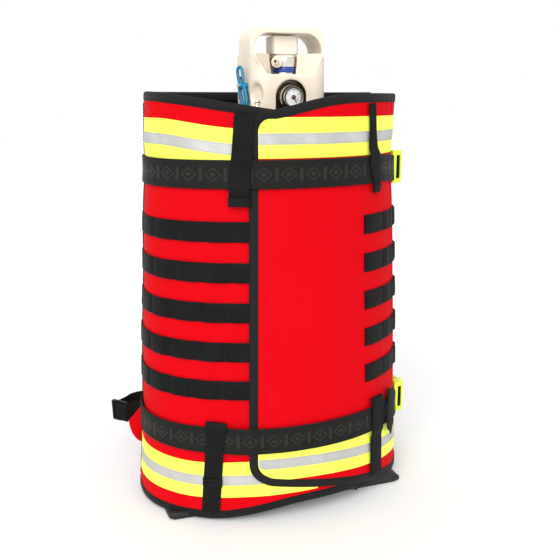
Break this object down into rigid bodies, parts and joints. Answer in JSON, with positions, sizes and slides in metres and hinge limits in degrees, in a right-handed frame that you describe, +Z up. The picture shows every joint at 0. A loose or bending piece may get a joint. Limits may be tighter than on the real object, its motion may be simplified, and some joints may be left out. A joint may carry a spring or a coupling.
{
  "type": "oxygen cylinder",
  "caption": "Gas cylinder with an integral valve, gauge and guard, standing in a soft wraparound backpack carrier with webbing rows, belts and side-release buckles.",
  "frame": {"origin": "on the floor, under the widest line of the carrier, at the middle of its width", "axes": "+Z up, +X to the right seen from the front, the front faces -Y"},
  "size_m": [0.4388, 0.2914, 0.623],
  "materials": {
    "red": "woven matt",
    "black_bind": "grosgrain",
    "webbing": "woven webbing",
    "tape": "fluorescent tape with a silver stripe",
    "belt": "jacquard webbing",
    "pad": "spacer mesh",
    "base": "coated fabric",
    "yellow_plastic": "satin",
    "black_plastic": "satin",
    "ivory": "satin",
    "shell": "gloss",
    "chrome": "polished",
    "blue": "gloss",
    "turquoise": "satin",
    "white": "matt",
    "gauge": "dark polished",
    "needle": "matt",
    "lens": "clear",
    "steel": "brushed"
  },
  "bodies": {
    "carrier": {"back_panel": "red", "left_wrap": "red", "front_flap": "red", "side_tabs": "red", "rim_binding": "black_bind", "flap_binding": "black_bind", "hem_binding": "black_bind", "webbing_row_left_1": "webbing", "webbing_row_left_2": "webbing", "webbing_row_left_3": "webbing", "webbing_row_left_4": "webbing", "webbing_row_left_5": "webbing", "webbing_row_right_1": "webbing", "webbing_row_right_2": "webbing", "webbing_row_right_3": "webbing", "webbing_row_right_4": "webbing", "webbing_row_right_5": "webbing", "keeper_upper_left": "webbing", "keeper_upper_right": "webbing", "keeper_lower_left": "webbing", "keeper_lower_right": "webbing", "belt_tail": "webbing", "adjuster_webbing_left": "webbing", "adjuster_webbing_right": "webbing", "grab_handle": "webbing", "inner_straps": "webbing", "buckle_anchors": "webbing", "tape_upper_left": "tape", "tape_upper_flap": "tape", "tape_lower_left": "tape", "tape_lower_flap": "tape", "belt_upper": "belt", "belt_lower": "belt", "back_pads": "pad", "shoulder_strap_left": "pad", "shoulder_strap_right": "pad", "base_panel": "base", "ladder_locks": "black_plastic", "buckle_tongue_upper": "yellow_plastic", "buckle_tongue_lower": "yellow_plastic"},
    "receiver_upper": {"buckle_receiver_upper": "yellow_plastic"},
    "receiver_lower": {"buckle_receiver_lower": "yellow_plastic"},
    "prong_upper_top": {"prong_upper_top": "yellow_plastic"},
    "prong_upper_bottom": {"prong_upper_bottom": "yellow_plastic"},
    "prong_lower_top": {"prong_lower_top": "yellow_plastic"},
    "prong_lower_bottom": {"prong_lower_bottom": "yellow_plastic"},
    "cylinder": {"cylinder_shell": "shell", "regulator_body": "chrome", "valve_guard": "ivory", "guard_screws": "steel", "hose_barb": "ivory", "colour_ring": "blue", "flow_spindle": "steel", "gauge_case": "gauge", "gauge_dial": "white", "gauge_lens": "lens"},
    "knob": {"flow_knob": "ivory"},
    "needle": {"gauge_needle": "needle"},
    "bed_strap": {"bed_strap": "turquoise"}
  },
  "joints": [
    {"name": "cylinder_lift", "type": "slide", "parent": "carrier", "child": "cylinder", "axis": [0, 0, 1], "range_m": [0, 0.6]},
    {"name": "flow_knob_turn", "type": "hinge", "parent": "cylinder", "child": "knob", "pos_m": [0.0131, -0.01, 0.595], "axis": [0, 0, 1], "range_deg": [0, 300]},
    {"name": "gauge_needle_sweep", "type": "hinge", "parent": "cylinder", "child": "needle", "pos_m": [0.0158, -0.048, 0.538], "axis": [0, 1, 0], "range_deg": [0, 240]},
    {"name": "bed_strap_swing", "type": "hinge", "parent": "cylinder", "child": "bed_strap", "pos_m": [-0.0409, -0.03, 0.552], "axis": [1, 0, 0], "range_deg": [-20, 20]},
    {"name": "buckle_release_upper", "type": "slide", "parent": "carrier", "child": "receiver_upper", "axis": [0, 1, 0], "range_m": [0, 0.04]},
    {"name": "squeeze_upper_top", "type": "hinge", "parent": "carrier", "child": "prong_upper_top", "pos_m": [0.17965, -0.011, 0.4585], "axis": [-1, 0, 0], "range_deg": [0, 4], "stiffness_Nm_per_rad": 0.3},
    {"name": "squeeze_upper_bottom", "type": "hinge", "parent": "carrier", "child": "prong_upper_bottom", "pos_m": [0.17965, -0.011, 0.4305], "axis": [1, 0, 0], "range_deg": [0, 4], "stiffness_Nm_per_rad": 0.3},
    {"name": "buckle_release_lower", "type": "slide", "parent": "carrier", "child": "receiver_lower", "axis": [0, 1, 0], "range_m": [0, 0.04]},
    {"name": "squeeze_lower_top", "type": "hinge", "parent": "carrier", "child": "prong_lower_top", "pos_m": [0.19468, -0.011, 0.1185], "axis": [-1, 0, 0], "range_deg": [0, 4], "stiffness_Nm_per_rad": 0.3},
    {"name": "squeeze_lower_bottom", "type": "hinge", "parent": "carrier", "child": "prong_lower_bottom", "pos_m": [0.19468, -0.011, 0.0905], "axis": [1, 0, 0], "range_deg": [0, 4], "stiffness_Nm_per_rad": 0.3}
  ]
}
